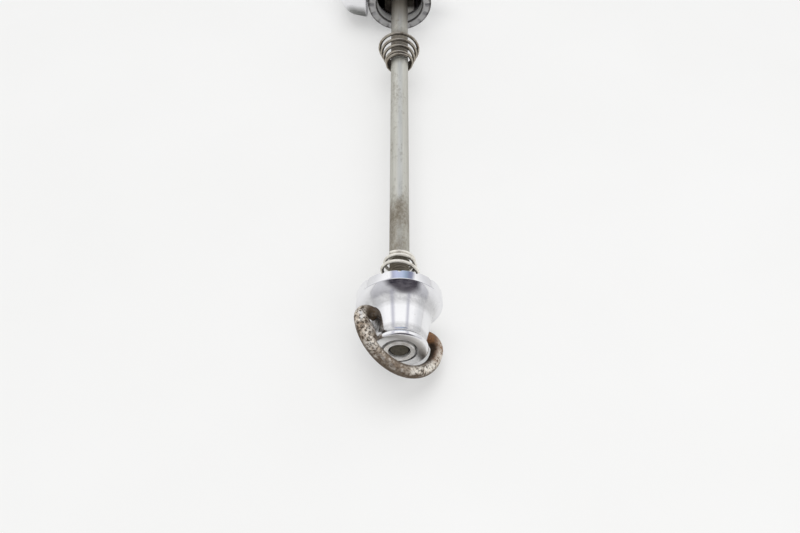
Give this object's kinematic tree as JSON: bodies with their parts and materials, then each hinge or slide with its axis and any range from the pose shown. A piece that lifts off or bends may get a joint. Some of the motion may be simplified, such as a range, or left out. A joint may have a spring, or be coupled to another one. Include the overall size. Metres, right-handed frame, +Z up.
{
  "type": "quick release skewer",
  "caption": "Quick release skewer: steel rod with conical springs, clamped between a chromed cam housing with a curved lever and a flanged nut with a wire handle.",
  "frame": {"origin": "on the rod's axis, half way between the two clamp faces", "axes": "+Y along the rod from the nut to the lever, +X to the right of that, +Z up as it lies"},
  "size_m": [0.0338, 0.2029, 0.0206],
  "materials": {
    "rod_steel": "drawn steel, satin, stained",
    "yoke_steel": "turned steel, dull",
    "housing_chrome": "polished chrome plate",
    "lever_chrome": "polished chrome plate",
    "washer_steel": "plated, satin",
    "cap_chrome": "polished chrome plate",
    "nut_chrome": "polished chrome plate",
    "bush_steel": "turned steel",
    "bail_steel": "worn plating, pitted, rust at the ends",
    "spring_steel": "bright spring wire"
  },
  "bodies": {
    "housing": {"cam_housing": "housing_chrome"},
    "lever": {"lever": "lever_chrome", "lever_washer": "washer_steel", "cap_nut": "cap_chrome"},
    "rod": {"skewer_rod": "rod_steel", "cam_yoke": "yoke_steel", "lever_spring": "spring_steel"},
    "nut_spring": {"nut_spring": "spring_steel"},
    "nut": {"nut_shell": "nut_chrome", "nut_bush": "bush_steel", "nut_bail": "bail_steel"}
  },
  "joints": [
    {"name": "lever_turn", "type": "hinge", "parent": "housing", "child": "lever", "pos_m": [0, 0.06915, 0], "axis": [-1, 0, 0], "range_deg": [-93.79, 86.2]},
    {"name": "cam_throw", "type": "slide", "parent": "housing", "child": "rod", "axis": [0, 1, 0], "range_m": [-0.00105, 0.00097]},
    {"name": "nut_travel", "type": "slide", "parent": "rod", "child": "nut_spring", "axis": [0, 1, 0], "range_m": [-0.00485, 0.00325]},
    {"name": "nut_turn", "type": "hinge", "parent": "nut_spring", "child": "nut", "pos_m": [0, -0.066, 0], "axis": [0, 1, 0], "range_deg": [-2160, 1440]}
  ],
  "couplings": [
    {"joint": "cam_throw", "follows": "lever_turn", "m_per_rad": 0.0006366},
    {"joint": "nut_travel", "follows": "nut_turn", "m_per_rad": 0.00012732}
  ]
}
